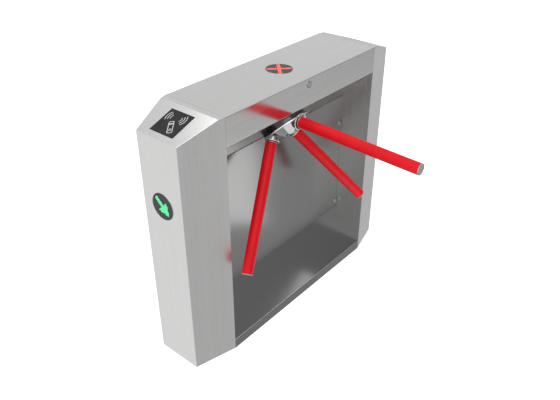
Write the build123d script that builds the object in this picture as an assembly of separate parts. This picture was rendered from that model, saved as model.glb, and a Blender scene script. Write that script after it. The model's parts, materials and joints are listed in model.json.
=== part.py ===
from build123d import *
import math
import os

# Tripod turnstile for counting visitors. Millimetres. +Z is up and the origin is on the floor at the
# middle of the cabinet. +X points out of the arm side, into the passage. Y runs along the lane.

# ---- cabinet, outside sizes ----
cabinet_length = 1200
cabinet_width = 280
cabinet_height = 1000
end_face_width = 190
column_length = 170
slant_run = 147
slant_drop = 53
header_height = 104
lip_height = 45
recess_depth = 140

# ---- sheet metal ----
sheet = 1.5
bend_radius = 2.0
seam_gap = 0.5
moving_gap = 2.0
lid_rear_flange = 12
flange_width = 20
cutter_depth = 12
column_window_top_gap = 60
soffit_hole_gap = 3
tongue_height = 40
tongue_thickness = 2
tongue_inset = 5
tongue_reach = 12
tongue_setback = 4

# ---- base and inner frame ----
base_thickness = 6
anchor_x = 70
anchor_y = 530
anchor_hole_radius = 7
cable_hole_x = -70
cable_hole_y = 250
cable_hole_radius = 25
grommet_wall = 4
grommet_lip = 3
grommet_floor_gap = 1
bulkhead_thickness = 3
bulkhead_half_width = 128
bulkhead_top_gap = 30
bulkhead_window_half_width = 90
bulkhead_window_low = 70
bulkhead_window_high = 720
bulkhead_foot = 40
bulkhead_bridge = 20
bulkhead_top_band = 40
rail_leg = 30
rail_depth = 33
rail_thickness = 3

# ---- rear service door ----
door_width = 660
door_height = 600
door_low_z = 140
door_return = 15
door_lock_inset = 24

# ---- fittings ----
indicator_radius = 50
indicator_lens_thickness = 4
indicator_proud = 1
indicator_chamfer = 0.5
end_indicator_z = 695
led_board_radius = 44
led_board_thickness = 1.6
led_board_depth = 8
led_spacer_wall = 3
reader_size = 107
reader_glass = 3
reader_proud = 0.8
reader_chamfer = 0.4
reader_module_size = 88
reader_module_depth = 20
fitting_gap = 0.3
lid_lock_drop = 24
panel_lock_y = 414
panel_lock_z = (628, 222)
panel_tongue_z = (628, 270)
lock_head_radius = 12.5
lock_head_proud = 2.5
lock_head_chamfer = 0.6
lock_barrel_radius = 9.5
lock_barrel_length = 24
lock_plug_radius = 7
lock_plug_recess = 0.2
lock_cam_length = 40
lock_cam_width = 14
lock_cam_thickness = 3
keyway_width = 1.6
keyway_length = 8
keyway_depth = 3
running_clearance = 0.05
lid_catch_gap = 1.4
lid_catch_width = 90
lid_catch_thickness = 3
lid_catch_rise = 6

# ---- hinges ----
knuckle_radius = 3.5
hinge_pin_radius = 1.5
hinge_leaf = 1.5
hinge_length = 60
hinge_gap = 0.4
lid_hinge_y = (-340, 0, 340)
door_hinge_offset = 220

# ---- hub and arms ----
hub_y = -60
hub_x = 70
apex_depth = 44.8
arm_cone_angle = 43.2
arm_count = 3
arm_tube_radius = 16
arm_tube_wall = 2.5
arm_tube_start = 102
sleeve_radius = 21
sleeve_start = 116
arm_reach = 607
arm_cap_thickness = 4
arm_cap_spigot = 18
sleeve_round = 1
arm_cap_round = 2
hub_flange_radius = 95
hub_flange_thickness = 6
hub_boss_radius = 50
socket_radius = 28
socket_end = 110
hub_nose_radius = 31
hub_nose_height = 30
hub_nose_inset = 16
escutcheon_radius = 91
escutcheon_bore = 60
escutcheon_thickness = 14
hub_running_gap = 2
hub_screw_circle = 30
hub_screw_radius = 4
hub_screw_head = 7.5
hub_screw_head_height = 8
hub_screw_head_gap = 0.5
hub_key_radius = 3.5
hub_key_floor = 4

# ---- mechanism, measured inwards along the hub axis from the slanted soffit ----
plate_front = 6
plate_thickness = 8
plate_half_width = 85
plate_half_length = 130
plate_bore_gap = 2
plate_screw_inset = 20
shaft_radius = 15
shaft_flange_radius = 45
shaft_flange_thickness = 8
shaft_collar_radius = 19
shaft_end = 165
bearing_radius = 31
bearing_width = 16
bearing_ring = 4.5
bearing_ball_radius = 3.5
bearing_balls = 9
bearing_shoulder = 5
housing_radius = 42
housing_flange_radius = 54
housing_flange = 8
housing_length = 64
cam_start = 88
cam_thickness = 8
cam_radius = 46
cam_valley_radius = 12
cam_valley_centre = 50
wheel_start = 100
wheel_thickness = 10
wheel_radius = 50
wheel_notches = 12
notch_width = 10
notch_depth = 8
back_plate_start = 114
back_plate_thickness = 5
back_plate_side_margin = 14
back_plate_end_margin = 20
back_plate_bore_gap = 5
post_radius = 6
post_shoulder = 2
pawl_angle = 150
pawl_bar_radius = 65
pawl_arm = 45
pawl_bar_width = 12
pawl_tooth_width = 6.5
pawl_tooth_gap = 1.5
pawl_tooth_shift = 2
pawl_side_gap = 1
pawl_eye_wall = 2
plunger_arm = 25
plunger_radius = 4
plunger_length = 11
plunger_gap = 0.4
plunger_tail_gap = 8
solenoid_size = (34, 26, 17)
roller_radius = 9
roller_gap = 0.4
roller_end_gap = 0.5
roller_pin_radius = 4
lever_length = 45
lever_width = 13
lever_thickness = 6
lever_eye_wall = 2
encoder_start = 124
encoder_radius = 38
encoder_slots = 24
encoder_thickness = 1.5
encoder_rim = 3
encoder_slot_length = 6
encoder_slot_width = 3
sensor_depth = 6
sensor_width = 16
sensor_reach = 12
sensor_block = 10
sensor_slot_gap = 1
sensor_rim_gap = 2
damper_start = 132
damper_length = 42
damper_radius = 30
damper_end_gap = 2
damper_overlap = 3
damper_legs = 3
damper_leg_angle = 60
damper_leg_circle = 48
damper_leg_radius = 4
damper_arm_width = 10
damper_arm_thickness = 5
screw_radius = 4
screw_head_radius = 6.5
screw_head_height = 6

# ---- electronics ----
board_size = (170, 240, 2)
board_standoff = 12
board_side_gap = 30
board_top_gap = 40
board_hole_inset = 10
board_post_radius = 3
connector_size = (12, 30, 12)
connector_count = 4
connector_pitch = 50
connector_place = (30, 20)
processor_size = (6, 50, 40)
processor_place = (60, 80)
supply_size = (60, 180, 100)
supply_rear_gap = 40
counter_size = (48, 90, 40)
counter_top_gap = 60

# ---- derived places ----
half_length = cabinet_length / 2
lid_lock_z = cabinet_height - lid_lock_drop
side_x = cabinet_width / 2
seam_y = half_length - column_length
recess_x = side_x - recess_depth
header_z = cabinet_height - header_height
soffit_low_z = header_z - recess_depth
sill_high_z = lip_height + recess_depth
lid_half_length = seam_y - seam_gap
rear_panel_top = cabinet_height - lid_rear_flange - moving_gap
hub_z = header_z - (side_x - hub_x)
hub_frame = Plane(origin=(hub_x, hub_y, hub_z), x_dir=(1, 0, 1), z_dir=(1, 0, -1))
slant_frame = Plane(
    origin=(0, -half_length + slant_run / 2, cabinet_height - slant_drop / 2),
    x_dir=(1, 0, 0),
    z_dir=(0, -slant_drop, slant_run),
)
end_frame = Plane(origin=(0, -half_length, end_indicator_z), x_dir=(1, 0, 0), z_dir=(0, -1, 0))
top_frame = Plane(origin=(0, 0, cabinet_height), x_dir=(1, 0, 0), z_dir=(0, 0, 1))
door_lock_frame = Plane(
    origin=(-side_x, -door_width / 2 + door_lock_inset, door_low_z + door_height / 2),
    x_dir=(0, 0, 1),
    z_dir=(-1, 0, 0),
)
lid_lock_frame = Plane(origin=(side_x, 0, lid_lock_z), x_dir=(0, 1, 0), z_dir=(1, 0, 0))
hub_back = escutcheon_thickness + hub_running_gap
hub_front = hub_back + hub_flange_thickness


# ---- helpers ----
def save(name, *solids):
    """Write one node: one solid, or a group of separate solids."""
    shape = solids[0] if len(solids) == 1 else Compound(list(solids))
    shape.label = name
    export_step(shape, f"parts/{name}.step")


def block(x0, x1, y0, y1, z0, z1):
    """Box between two corners."""
    return Pos((x0 + x1) / 2, (y0 + y1) / 2, (z0 + z1) / 2) * Box(x1 - x0, y1 - y0, z1 - z0)


def rod(radius, start, end, x=0, y=0):
    """Cylinder along the local Z axis."""
    return Pos(x, y, (start + end) / 2) * Cylinder(radius, end - start)


def ring(outer, inner, start, end, x=0, y=0):
    """Plain tube along the local Z axis."""
    return rod(outer, start, end, x, y) - rod(inner, start, end, x, y)


def mitred(points, distance, closed):
    """Points moved to the left of the path by a distance, with mitred corners."""
    count = len(points)
    moved = []
    for i, (x, y) in enumerate(points):
        normals = []
        for a, b in ((i - 1, i), (i, i + 1)):
            if closed or (a >= 0 and b < count):
                ax, ay = points[a % count]
                bx, by = points[b % count]
                run = math.hypot(bx - ax, by - ay)
                normals.append((-(by - ay) / run, (bx - ax) / run))
        first, last = normals[0], normals[-1]
        grow = 1 if len(normals) == 1 else 1 + first[0] * last[0] + first[1] * last[1]
        total = first if len(normals) == 1 else (first[0] + last[0], first[1] + last[1])
        moved.append((x + distance * total[0] / grow, y + distance * total[1] / grow))
    return moved


def folded(points):
    """Outline of a folded sheet whose outer face follows the points and whose metal is to their left."""
    return points + mitred(points, sheet, False)[::-1]


def along_y(points, y_start, y_end):
    """Prism along Y on an outline given as x, z."""
    face = make_face(Polyline(*[(x, y_start, z) for x, z in points], close=True))
    return extrude(face, amount=y_end - y_start, dir=(0, 1, 0))


def along_x(points, x_start, x_end):
    """Prism along X on an outline given as y, z."""
    face = make_face(Polyline(*[(x_start, y, z) for y, z in points], close=True))
    return extrude(face, amount=x_end - x_start, dir=(1, 0, 0))


def along_z(points, z_start, z_end):
    """Prism along Z on an outline given as x, y."""
    face = make_face(Polyline(*[(x, y, z_start) for x, y in points], close=True))
    return extrude(face, amount=z_end - z_start, dir=(0, 0, 1))


def other_end(shape):
    """The same piece at the far end of the cabinet."""
    return mirror(shape, about=Plane.XZ)


def in_hub(shape):
    """Move a shape from the hub's own frame to the cabinet."""
    return hub_frame.location * shape


# ---- cabinet shells ----
def column_block(inset, floor_z):
    """Solid near column, shrunk by an inset on every face but the bottom."""
    plan = [
        (-end_face_width / 2, -half_length),
        (end_face_width / 2, -half_length),
        (side_x, -seam_y),
        (-side_x, -seam_y),
    ]
    below = floor_z - cutter_depth
    profile = [
        (-half_length, below),
        (-seam_y, below),
        (-seam_y, cabinet_height),
        (-half_length + slant_run, cabinet_height),
        (-half_length, cabinet_height - slant_drop),
    ]
    upright = along_z(mitred(plan, inset, True), floor_z, cabinet_height)
    return upright & along_x(mitred(profile, inset, True), -cabinet_width, cabinet_width)


def make_column():
    """Near column: folded end shell with its inner wall, reader window and indicator hole."""
    outer = column_block(0, 0)
    bends = [
        edge
        for edge in outer.edges()
        if edge.center().Y < -seam_y - 1 and edge.center().Z > bend_radius
    ]
    outer = fillet(bends, bend_radius)
    shell = outer - column_block(sheet, -sheet)
    inner_x = side_x - sheet
    shell -= block(-inner_x, inner_x, -seam_y - sheet, -seam_y, -1, base_thickness)
    passage = (-side_x + flange_width, recess_x - flange_width)
    window_top = rear_panel_top - column_window_top_gap
    shell -= block(*passage, -seam_y - 2 * sheet, -seam_y + sheet, bulkhead_window_low, window_top)
    reader_hole = reader_size + 2 * fitting_gap
    shell -= slant_frame.location * Box(reader_hole, reader_hole, cutter_depth)
    shell -= end_frame.location * Cylinder(indicator_radius + fitting_gap, cutter_depth)
    return shell


def make_sill():
    """Front lip and sloping sill under the recess, with the flange that backs the recess panel."""
    corner = (recess_x - sheet, sill_high_z + sheet)
    path = [(side_x, 0), (side_x, lip_height), corner, (corner[0], corner[1] + flange_width)]
    return along_y(folded(path), -seam_y, seam_y)


def make_soffit():
    """Slanted soffit that carries the hub, with flanges behind the recess panel and the lid."""
    lip = side_x - sheet - moving_gap
    corner = (recess_x - sheet, soffit_low_z - sheet)
    path = [
        (corner[0], corner[1] - flange_width),
        corner,
        (lip, header_z - (side_x - lip)),
        (lip, header_z + flange_width),
    ]
    soffit = along_y(folded(path), -seam_y, seam_y)
    return soffit - in_hub(rod(shaft_flange_radius + soffit_hole_gap, -cutter_depth, cutter_depth))


def make_recess_panel():
    """Removable flat panel at the back of the recess, with two lock holes."""
    low = sill_high_z + sheet + seam_gap
    high = soffit_low_z - sheet - seam_gap
    panel = block(recess_x - sheet, recess_x, -seam_y + seam_gap, seam_y - seam_gap, low, high)
    for z in panel_lock_z:
        hole = Plane(origin=(recess_x, panel_lock_y, z), z_dir=(1, 0, 0)).location
        panel -= hole * Cylinder(lock_barrel_radius, cutter_depth)
    hook_back = recess_x - flange_width - tongue_setback
    hook_face = hook_back + tongue_thickness
    arm_near = -seam_y + tongue_inset
    arm_far = arm_near + tongue_thickness
    for z in panel_tongue_z:
        z0, z1 = z - tongue_height / 2, z + tongue_height / 2
        panel += block(hook_back, recess_x - sheet, arm_near, arm_far, z0, z1)
        panel += block(hook_back, hook_face, -seam_y - tongue_reach, arm_far, z0, z1)
    return panel


def make_lid():
    """Top cover with the front fascia and a rear flange, cut for the indicator and the lock."""
    path = [
        (side_x, header_z),
        (side_x, cabinet_height),
        (-side_x, cabinet_height),
        (-side_x, cabinet_height - lid_rear_flange),
    ]
    lid = along_y(folded(path), -lid_half_length, lid_half_length)
    bends = [
        edge
        for edge in lid.edges().filter_by(Axis.Y)
        if abs(abs(edge.center().X) - side_x) < 0.01 and abs(edge.center().Z - cabinet_height) < 0.01
    ]
    lid = fillet(bends, bend_radius)
    lid -= top_frame.location * Cylinder(indicator_radius + fitting_gap, cutter_depth)
    lock_hole = Plane(origin=(side_x, 0, lid_lock_z), z_dir=(1, 0, 0)).location
    return lid - lock_hole * Cylinder(lock_barrel_radius, cutter_depth)


def make_rear_panel():
    """Rear sheet with the door opening and its inward frame."""
    half = door_width / 2 + moving_gap
    low = door_low_z - moving_gap
    high = door_low_z + door_height + moving_gap
    inner = -side_x + sheet
    panel = block(-side_x, inner, -seam_y, seam_y, 0, rear_panel_top)
    panel += block(
        -side_x, inner + flange_width, -half - sheet, half + sheet, low - sheet, high + sheet
    )
    return panel - block(-side_x - 1, inner + flange_width + 1, -half, half, low, high)


def make_door():
    """Tray-shaped service door with folded returns and a lock hole."""
    half = door_width / 2
    high = door_low_z + door_height
    deep = -side_x + door_return
    door = block(-side_x, deep, -half, half, door_low_z, high)
    door -= block(
        -side_x + sheet, deep + 1, -half + sheet, half - sheet, door_low_z + sheet, high - sheet
    )
    return door - door_lock_frame.location * Cylinder(lock_barrel_radius, cutter_depth)


def make_base():
    """Base plate with anchor holes and cable entries."""
    outline = [
        (-end_face_width / 2, -half_length),
        (end_face_width / 2, -half_length),
        (side_x, -seam_y),
        (side_x, seam_y),
        (end_face_width / 2, half_length),
        (-end_face_width / 2, half_length),
        (-side_x, seam_y),
        (-side_x, -seam_y),
    ]
    base = along_z(mitred(outline, sheet, True), 0, base_thickness)
    for y in (-anchor_y, anchor_y):
        for x in (-anchor_x, anchor_x):
            base -= rod(anchor_hole_radius, -1, base_thickness + 1, x, y)
    for y in (-cable_hole_y, cable_hole_y):
        base -= rod(cable_hole_radius, -1, base_thickness + 1, cable_hole_x, y)
    return base


def make_grommet(y):
    """Rubber edge ring in a cable entry."""
    bore = cable_hole_radius - grommet_wall
    lip = ring(cable_hole_radius + grommet_wall, bore, base_thickness, base_thickness + grommet_lip)
    return Pos(cable_hole_x, y, 0) * (
        lip + ring(cable_hole_radius, bore, grommet_floor_gap, base_thickness)
    )


def make_bulkhead():
    """Steel frame plate behind the near column's inner wall, with a foot on the base."""
    outer_y = -seam_y - sheet
    inner_y = outer_y - bulkhead_thickness
    top = cabinet_height - bulkhead_top_gap
    half = bulkhead_half_width
    plate = block(-half, half, inner_y, outer_y, base_thickness, top)
    window = bulkhead_window_half_width
    plate -= block(
        -window, window, inner_y - 1, outer_y + 1, bulkhead_window_low, bulkhead_window_high
    )
    half_foot = half - bulkhead_foot / 2
    foot_top = base_thickness + bulkhead_thickness
    plate += block(-half_foot, half_foot, inner_y - bulkhead_foot, inner_y, base_thickness, foot_top)
    passage = (-side_x + flange_width, recess_x - flange_width)
    bridge = bulkhead_window_high + bulkhead_bridge
    return plate - block(*passage, inner_y - 1, outer_y + 1, bridge, top - bulkhead_top_band)


def make_rail(side):
    """Angle rail along the cabinet that carries one edge of the mechanism plate."""
    back = -plate_front - plate_thickness
    edge = side * plate_half_width
    inner = side * (plate_half_width - rail_leg)
    wall = side * (plate_half_width - rail_thickness)
    near = hub_y + seam_y
    far = hub_y - seam_y
    leg = block(min(edge, inner), max(edge, inner), far, near, back - rail_thickness, back)
    leg += block(min(edge, wall), max(edge, wall), far, near, back - rail_depth, back)
    for x, y in plate_screw_places():
        leg -= rod(screw_radius, back - rail_thickness - 1, back + 1, x, y)
    return in_hub(leg)


# ---- locks and hinges ----
def make_lock(frame, cam_angle, keyway_angle):
    """Cam lock in a frame whose Z axis points out of the panel: the fixed barrel, and plug with cam."""
    bore = lock_plug_radius + running_clearance
    barrel = rod(lock_head_radius, 0, lock_head_proud) + rod(lock_barrel_radius, -lock_barrel_length, 0)
    barrel = chamfer(barrel.faces().sort_by(Axis.Z)[-1].edges(), lock_head_chamfer)
    barrel -= rod(bore, -lock_barrel_length - 1, lock_head_proud + 1)
    cam_top = -lock_barrel_length - hinge_gap
    plug = rod(lock_plug_radius, cam_top - lock_cam_thickness, lock_head_proud - lock_plug_recess)
    plug -= Pos(0, 0, lock_head_proud) * (
        Rot(0, 0, keyway_angle) * Box(keyway_width, keyway_length, 2 * keyway_depth)
    )
    cam = Pos(lock_cam_length / 2 - lock_cam_width / 2, 0, cam_top - lock_cam_thickness / 2) * Box(
        lock_cam_length, lock_cam_width, lock_cam_thickness
    )
    plug += Rot(0, 0, cam_angle) * cam
    return frame.location * barrel, frame.location * plug


def make_hinge(frame, fixed_leaf_width, moving_leaf_width):
    """Butt hinge with its axis on the frame's Z axis; the surface it lies on is at y = -knuckle_radius."""
    third = hinge_length / 3
    surface = -knuckle_radius
    clear = knuckle_radius + hinge_gap
    half = hinge_length / 2
    fixed = block(clear, fixed_leaf_width, surface, surface + hinge_leaf, -half, half)
    moving = block(-moving_leaf_width, -clear, surface, surface + hinge_leaf, -half, half)
    for side in (-1, 1):
        low, high = sorted((side * (third / 2 + hinge_gap), side * hinge_length / 2))
        fixed += rod(knuckle_radius, low, high) + block(0, clear, surface, surface + hinge_leaf, low, high)
        fixed -= rod(hinge_pin_radius, low - 1, high + 1)
    moving += rod(knuckle_radius, -third / 2, third / 2)
    moving += block(-clear, 0, surface, surface + hinge_leaf, -third / 2, third / 2)
    moving -= rod(hinge_pin_radius + running_clearance, -third, third)
    pin = rod(hinge_pin_radius, -hinge_length / 2, hinge_length / 2)
    return [frame.location * piece for piece in (fixed, moving, pin)]


# ---- fittings ----
def make_indicator(frame):
    """Round indicator: dark lens and the LED board behind it."""
    lens = rod(indicator_radius, indicator_proud - indicator_lens_thickness, indicator_proud)
    lens = chamfer(lens.faces().sort_by(Axis.Z)[-1].edges(), indicator_chamfer)
    back = indicator_proud - indicator_lens_thickness
    low = back - led_board_depth
    board = rod(led_board_radius, low, low + led_board_thickness)
    spacer = ring(led_board_radius, led_board_radius - led_spacer_wall, low, back)
    return frame.location * lens, frame.location * (board + spacer)


def make_reader():
    """Card reader: dark glass window and the reader module behind it."""
    glass = Pos(0, 0, reader_proud - reader_glass / 2) * Box(reader_size, reader_size, reader_glass)
    glass = chamfer(glass.faces().sort_by(Axis.Z)[-1].edges(), reader_chamfer)
    module_top = reader_proud - reader_glass
    size = reader_module_size
    module = Pos(0, 0, module_top - reader_module_depth / 2) * Box(size, size, reader_module_depth)
    return slant_frame.location * glass, slant_frame.location * module


# ---- hub and arms ----
def arm_frame(index):
    """Local frame of one arm, in the hub's frame, with Z along the arm and the origin at the apex."""
    turn = math.radians(index * 360 / arm_count)
    cone = math.radians(arm_cone_angle)
    direction = (math.sin(cone) * math.cos(turn), math.sin(cone) * math.sin(turn), math.cos(cone))
    side = (-math.sin(turn), math.cos(turn), 0)
    return Plane(origin=(0, 0, -apex_depth), x_dir=side, z_dir=direction)


def make_hub():
    """Cast hub: flange, centre boss, domed nose and three arm sockets."""
    nose = Pos(0, 0, hub_front + hub_nose_height / 2) * Cone(
        hub_flange_radius - hub_nose_inset, hub_nose_radius, hub_nose_height
    )
    hub = nose + rod(hub_flange_radius, hub_back, hub_front)
    above = rod(2 * hub_flange_radius, hub_back, 2 * hub_flange_radius)
    for index in range(arm_count):
        socket = arm_frame(index).location * rod(socket_radius, hub_nose_radius, socket_end)
        hub += socket & above
    hub += rod(hub_boss_radius, shaft_flange_thickness / 2, hub_back)
    for index in range(arm_count):
        hub -= arm_frame(index).location * rod(arm_tube_radius, arm_tube_start, arm_reach)
        turn = math.radians((index + 0.5) * 360 / arm_count)
        x, y = hub_screw_circle * math.cos(turn), hub_screw_circle * math.sin(turn)
        hub -= rod(hub_screw_radius, 0, hub_front, x, y)
        hub -= rod(hub_screw_head + hub_screw_head_gap, hub_front, 3 * hub_nose_height, x, y)
    return in_hub(hub)


def make_hub_screw(index):
    """Socket-head screw from the hub into the shaft flange."""
    turn = math.radians((index + 0.5) * 360 / arm_count)
    x, y = hub_screw_circle * math.cos(turn), hub_screw_circle * math.sin(turn)
    screw = rod(hub_screw_radius, -shaft_flange_thickness / 2, hub_front, x, y)
    head_top = hub_front + hub_screw_head_height
    head = rod(hub_screw_head, hub_front, head_top, x, y)
    head -= rod(hub_key_radius, hub_front + hub_key_floor, head_top + 1, x, y)
    return in_hub(screw + head)


def make_arm(index):
    """One arm: steel tube, coloured sleeve and end cap."""
    frame = hub_frame.location * arm_frame(index).location
    bore = arm_tube_radius - arm_tube_wall
    sleeve_end = arm_reach - arm_cap_thickness
    tube = ring(arm_tube_radius, bore, arm_tube_start, sleeve_end)
    sleeve = ring(sleeve_radius, arm_tube_radius, sleeve_start, sleeve_end)
    low_rims = sleeve.edges().filter_by(GeomType.CIRCLE).group_by(Axis.Z)[0]
    sleeve = fillet(low_rims.sort_by(SortBy.RADIUS)[-1:], sleeve_round)
    cap = rod(sleeve_radius, sleeve_end, arm_reach)
    cap = fillet(cap.faces().sort_by(Axis.Z)[-1].edges(), arm_cap_round)
    cap += rod(bore, sleeve_end - arm_cap_spigot, sleeve_end)
    return [frame * piece for piece in (tube, sleeve, cap)]


def make_escutcheon():
    """Dark ring on the soffit behind the hub flange."""
    return in_hub(ring(escutcheon_radius, escutcheon_bore, 0, escutcheon_thickness))


# ---- mechanism ----
def make_shaft():
    """Main shaft with the hub flange and collar."""
    half = shaft_flange_thickness / 2
    shaft = rod(shaft_radius, -shaft_end, 0) + rod(shaft_collar_radius, -plate_front - plate_thickness, 0)
    shaft += rod(shaft_flange_radius, -half, half)
    for index in range(arm_count):
        turn = math.radians((index + 0.5) * 360 / arm_count)
        x, y = hub_screw_circle * math.cos(turn), hub_screw_circle * math.sin(turn)
        shaft -= rod(hub_screw_radius, -half - 1, half + 1, x, y)
    return in_hub(shaft)


def make_plate():
    """Front mechanism plate on the two rails."""
    back = -plate_front - plate_thickness
    plate = block(
        -plate_half_width, plate_half_width, -plate_half_length, plate_half_length, back, -plate_front
    )
    plate -= rod(shaft_collar_radius + plate_bore_gap, back - 1, 0)
    for x, y in plate_screw_places():
        plate -= rod(screw_radius, back - 1, 0, x, y)
    return in_hub(plate)


def plate_screw_places():
    """Four screw places that hold the plate to the rails, as x, y in the hub frame."""
    x = plate_half_width - rail_leg / 2
    y = plate_half_length - plate_screw_inset
    return [(sx * x, sy * y) for sx in (-1, 1) for sy in (-1, 1)]


def make_plate_screw(x, y):
    """Screw with its head on the inner side of the rail leg."""
    back = -plate_front - plate_thickness - rail_thickness
    screw = rod(screw_radius, back, -plate_front, x, y)
    return in_hub(screw + rod(screw_head_radius, back - screw_head_height, back, x, y))


def make_housing():
    """Bearing housing bolted to the back of the plate."""
    face = -plate_front - plate_thickness
    end = face - housing_length
    housing = rod(housing_radius, end, face) + rod(housing_flange_radius, face - housing_flange, face)
    housing -= rod(bearing_radius - bearing_shoulder, end - 1, face + 1)
    housing -= rod(bearing_radius, face - bearing_width, face + 1)
    housing -= rod(bearing_radius, end - 1, end + bearing_width)
    return in_hub(housing)


def make_bearing(top):
    """Deep-groove ball bearing as outer race, inner race and balls; top is its outward face."""
    low = top - bearing_width
    middle = (top + low) / 2
    pitch = (bearing_radius + shaft_radius) / 2
    outer = ring(bearing_radius, bearing_radius - bearing_ring, low, top)
    inner = ring(shaft_radius + bearing_ring, shaft_radius + running_clearance, low, top)
    balls = []
    for index in range(bearing_balls):
        turn = 2 * math.pi * index / bearing_balls
        place = Pos(pitch * math.cos(turn), pitch * math.sin(turn), middle)
        balls.append(in_hub(place * Sphere(bearing_ball_radius)))
    return [in_hub(outer), in_hub(inner)] + balls


def make_cam():
    """Centring cam with one valley for each arm."""
    cam = ring(cam_radius, shaft_radius, -cam_start - cam_thickness, -cam_start)
    for index in range(arm_count):
        turn = math.radians(90 + index * 360 / arm_count)
        x, y = cam_valley_centre * math.cos(turn), cam_valley_centre * math.sin(turn)
        cam -= rod(cam_valley_radius, -cam_start - cam_thickness - 1, -cam_start + 1, x, y)
    return in_hub(cam)


def make_lock_wheel():
    """Notched wheel that the pawls stop."""
    low = -wheel_start - wheel_thickness
    wheel = ring(wheel_radius, shaft_radius, low, -wheel_start)
    half = notch_width / 2
    floor = wheel_radius - notch_depth
    cutter = block(floor, wheel_radius + notch_depth, -half, half, low - 1, 1 - wheel_start)
    for index in range(wheel_notches):
        wheel -= Rot(0, 0, index * 360 / wheel_notches) * cutter
    return in_hub(wheel)


def pawl_pivot(side):
    """Pivot of a pawl, as x, y in the hub frame."""
    turn = math.radians(pawl_angle)
    x = pawl_bar_radius * math.cos(turn) + pawl_arm * math.sin(turn)
    y = pawl_bar_radius * math.sin(turn) - pawl_arm * math.cos(turn)
    return x, side * y


def make_pawl(side):
    """Pawl, drawn with its tooth on the +X axis and turned to its place beside the wheel."""
    low = -wheel_start - wheel_thickness + pawl_side_gap
    high = -wheel_start - pawl_side_gap
    half = pawl_bar_width / 2
    inner = pawl_bar_radius - half
    tooth_low = pawl_tooth_shift - pawl_tooth_width / 2
    tooth_high = pawl_tooth_shift + pawl_tooth_width / 2
    bar = block(inner, pawl_bar_radius + half, -pawl_arm, tooth_high, low, high)
    eye = rod(half + pawl_eye_wall, low, high, pawl_bar_radius, -pawl_arm)
    tooth = block(wheel_radius + pawl_tooth_gap, inner, tooth_low, tooth_high, low, high)
    bore = rod(post_radius + running_clearance, low - 1, high + 1, pawl_bar_radius, -pawl_arm)
    pawl = Rot(0, 0, pawl_angle) * (bar + eye + tooth - bore)
    return in_hub(pawl if side > 0 else mirror(pawl, about=Plane.XZ))


def make_solenoid(side):
    """Push solenoid beside a pawl: its body and its plunger."""
    middle = -wheel_start - wheel_thickness / 2
    start = pawl_bar_radius + pawl_bar_width / 2 + plunger_gap
    y = -pawl_arm + plunger_arm
    deep, wide, tall = solenoid_size
    body_start = start + plunger_length
    body = block(
        body_start, body_start + deep, y - wide / 2, y + wide / 2, middle - tall / 2, middle + tall / 2
    )
    rod_x = Plane(origin=(start, y, middle), z_dir=(1, 0, 0)).location
    bore = plunger_radius + running_clearance
    body -= rod_x * rod(bore, 0, plunger_length + deep + 1)
    plunger = rod_x * rod(plunger_radius, 0, plunger_length + deep - plunger_tail_gap)
    turned = [Rot(0, 0, pawl_angle) * piece for piece in (body, plunger)]
    if side < 0:
        turned = [mirror(piece, about=Plane.XZ) for piece in turned]
    return [in_hub(piece) for piece in turned]


def roller_place():
    """Centre of the centring roller, as x, y in the hub frame."""
    return 0, cam_radius + roller_radius + roller_gap


def lever_pivot():
    """Pivot of the centring lever, as x, y in the hub frame."""
    x, y = roller_place()
    return x + lever_length, y


def make_lever():
    """Centring lever with the pin of its roller."""
    low = -cam_start + hinge_gap
    high = low + lever_thickness
    rx, ry = roller_place()
    px, py = lever_pivot()
    lever = block(rx, px, py - lever_width / 2, py + lever_width / 2, low, high)
    lever += rod(lever_width / 2, low, high, rx, ry)
    lever += rod(lever_width / 2 + lever_eye_wall, low, high, px, py)
    lever += rod(roller_pin_radius, -cam_start - cam_thickness, low, rx, ry)
    return in_hub(lever - rod(post_radius + running_clearance, low - 1, high + 1, px, py))


def make_roller():
    """Roller of the centring lever."""
    x, y = roller_place()
    low = -cam_start - cam_thickness + roller_end_gap
    return in_hub(ring(roller_radius, roller_pin_radius + running_clearance, low, -cam_start, x, y))


def post_places():
    """Posts between the two plates, as x, y in the hub frame."""
    pivots = [pawl_pivot(1), pawl_pivot(-1), lever_pivot()]
    return pivots + [(lever_pivot()[0], -lever_pivot()[1])]


def make_back_plate():
    """Back mechanism plate, carried on the posts."""
    low = -back_plate_start - back_plate_thickness
    reach = pawl_bar_radius + pawl_bar_width / 2 + plunger_length + solenoid_size[0]
    edge = lever_pivot()[0] + back_plate_side_margin
    half = plate_half_length - back_plate_end_margin
    plate = block(-reach, edge, -half, half, low, -back_plate_start)
    plate -= rod(shaft_radius + back_plate_bore_gap, low - 1, 0)
    for x, y in post_places():
        plate -= rod(post_radius - post_shoulder, low - 1, 0, x, y)
    return in_hub(plate)


def make_post(x, y):
    """Post from the front plate, shouldered under the back plate."""
    face = -plate_front - plate_thickness
    post = rod(post_radius, -back_plate_start, face, x, y)
    low = -back_plate_start - back_plate_thickness
    return in_hub(post + rod(post_radius - post_shoulder, low, face, x, y))


def make_encoder():
    """Slotted counting disc on the shaft."""
    low = -encoder_start - encoder_thickness
    disc = ring(encoder_radius, shaft_radius, low, -encoder_start)
    outer = encoder_radius - encoder_rim
    half = encoder_slot_width / 2
    slot = block(outer - encoder_slot_length, outer, -half, half, low - 1, 1 - encoder_start)
    for index in range(encoder_slots):
        disc -= Rot(0, 0, index * 360 / encoder_slots) * slot
    return in_hub(disc)


def make_sensor():
    """Fork sensor over the rim of the counting disc."""
    low = -encoder_start - sensor_depth
    back = -back_plate_start - back_plate_thickness
    inner = encoder_radius - sensor_reach
    rim = encoder_radius + sensor_rim_gap
    half = sensor_width / 2
    slot_low = -encoder_start - encoder_thickness - sensor_slot_gap
    slot_high = -encoder_start + sensor_slot_gap
    fork = block(inner, encoder_radius + sensor_block, -half, half, low, back)
    slot = block(inner - 1, rim, -half - 1, half + 1, slot_low, slot_high)
    return in_hub(fork - slot)


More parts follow.
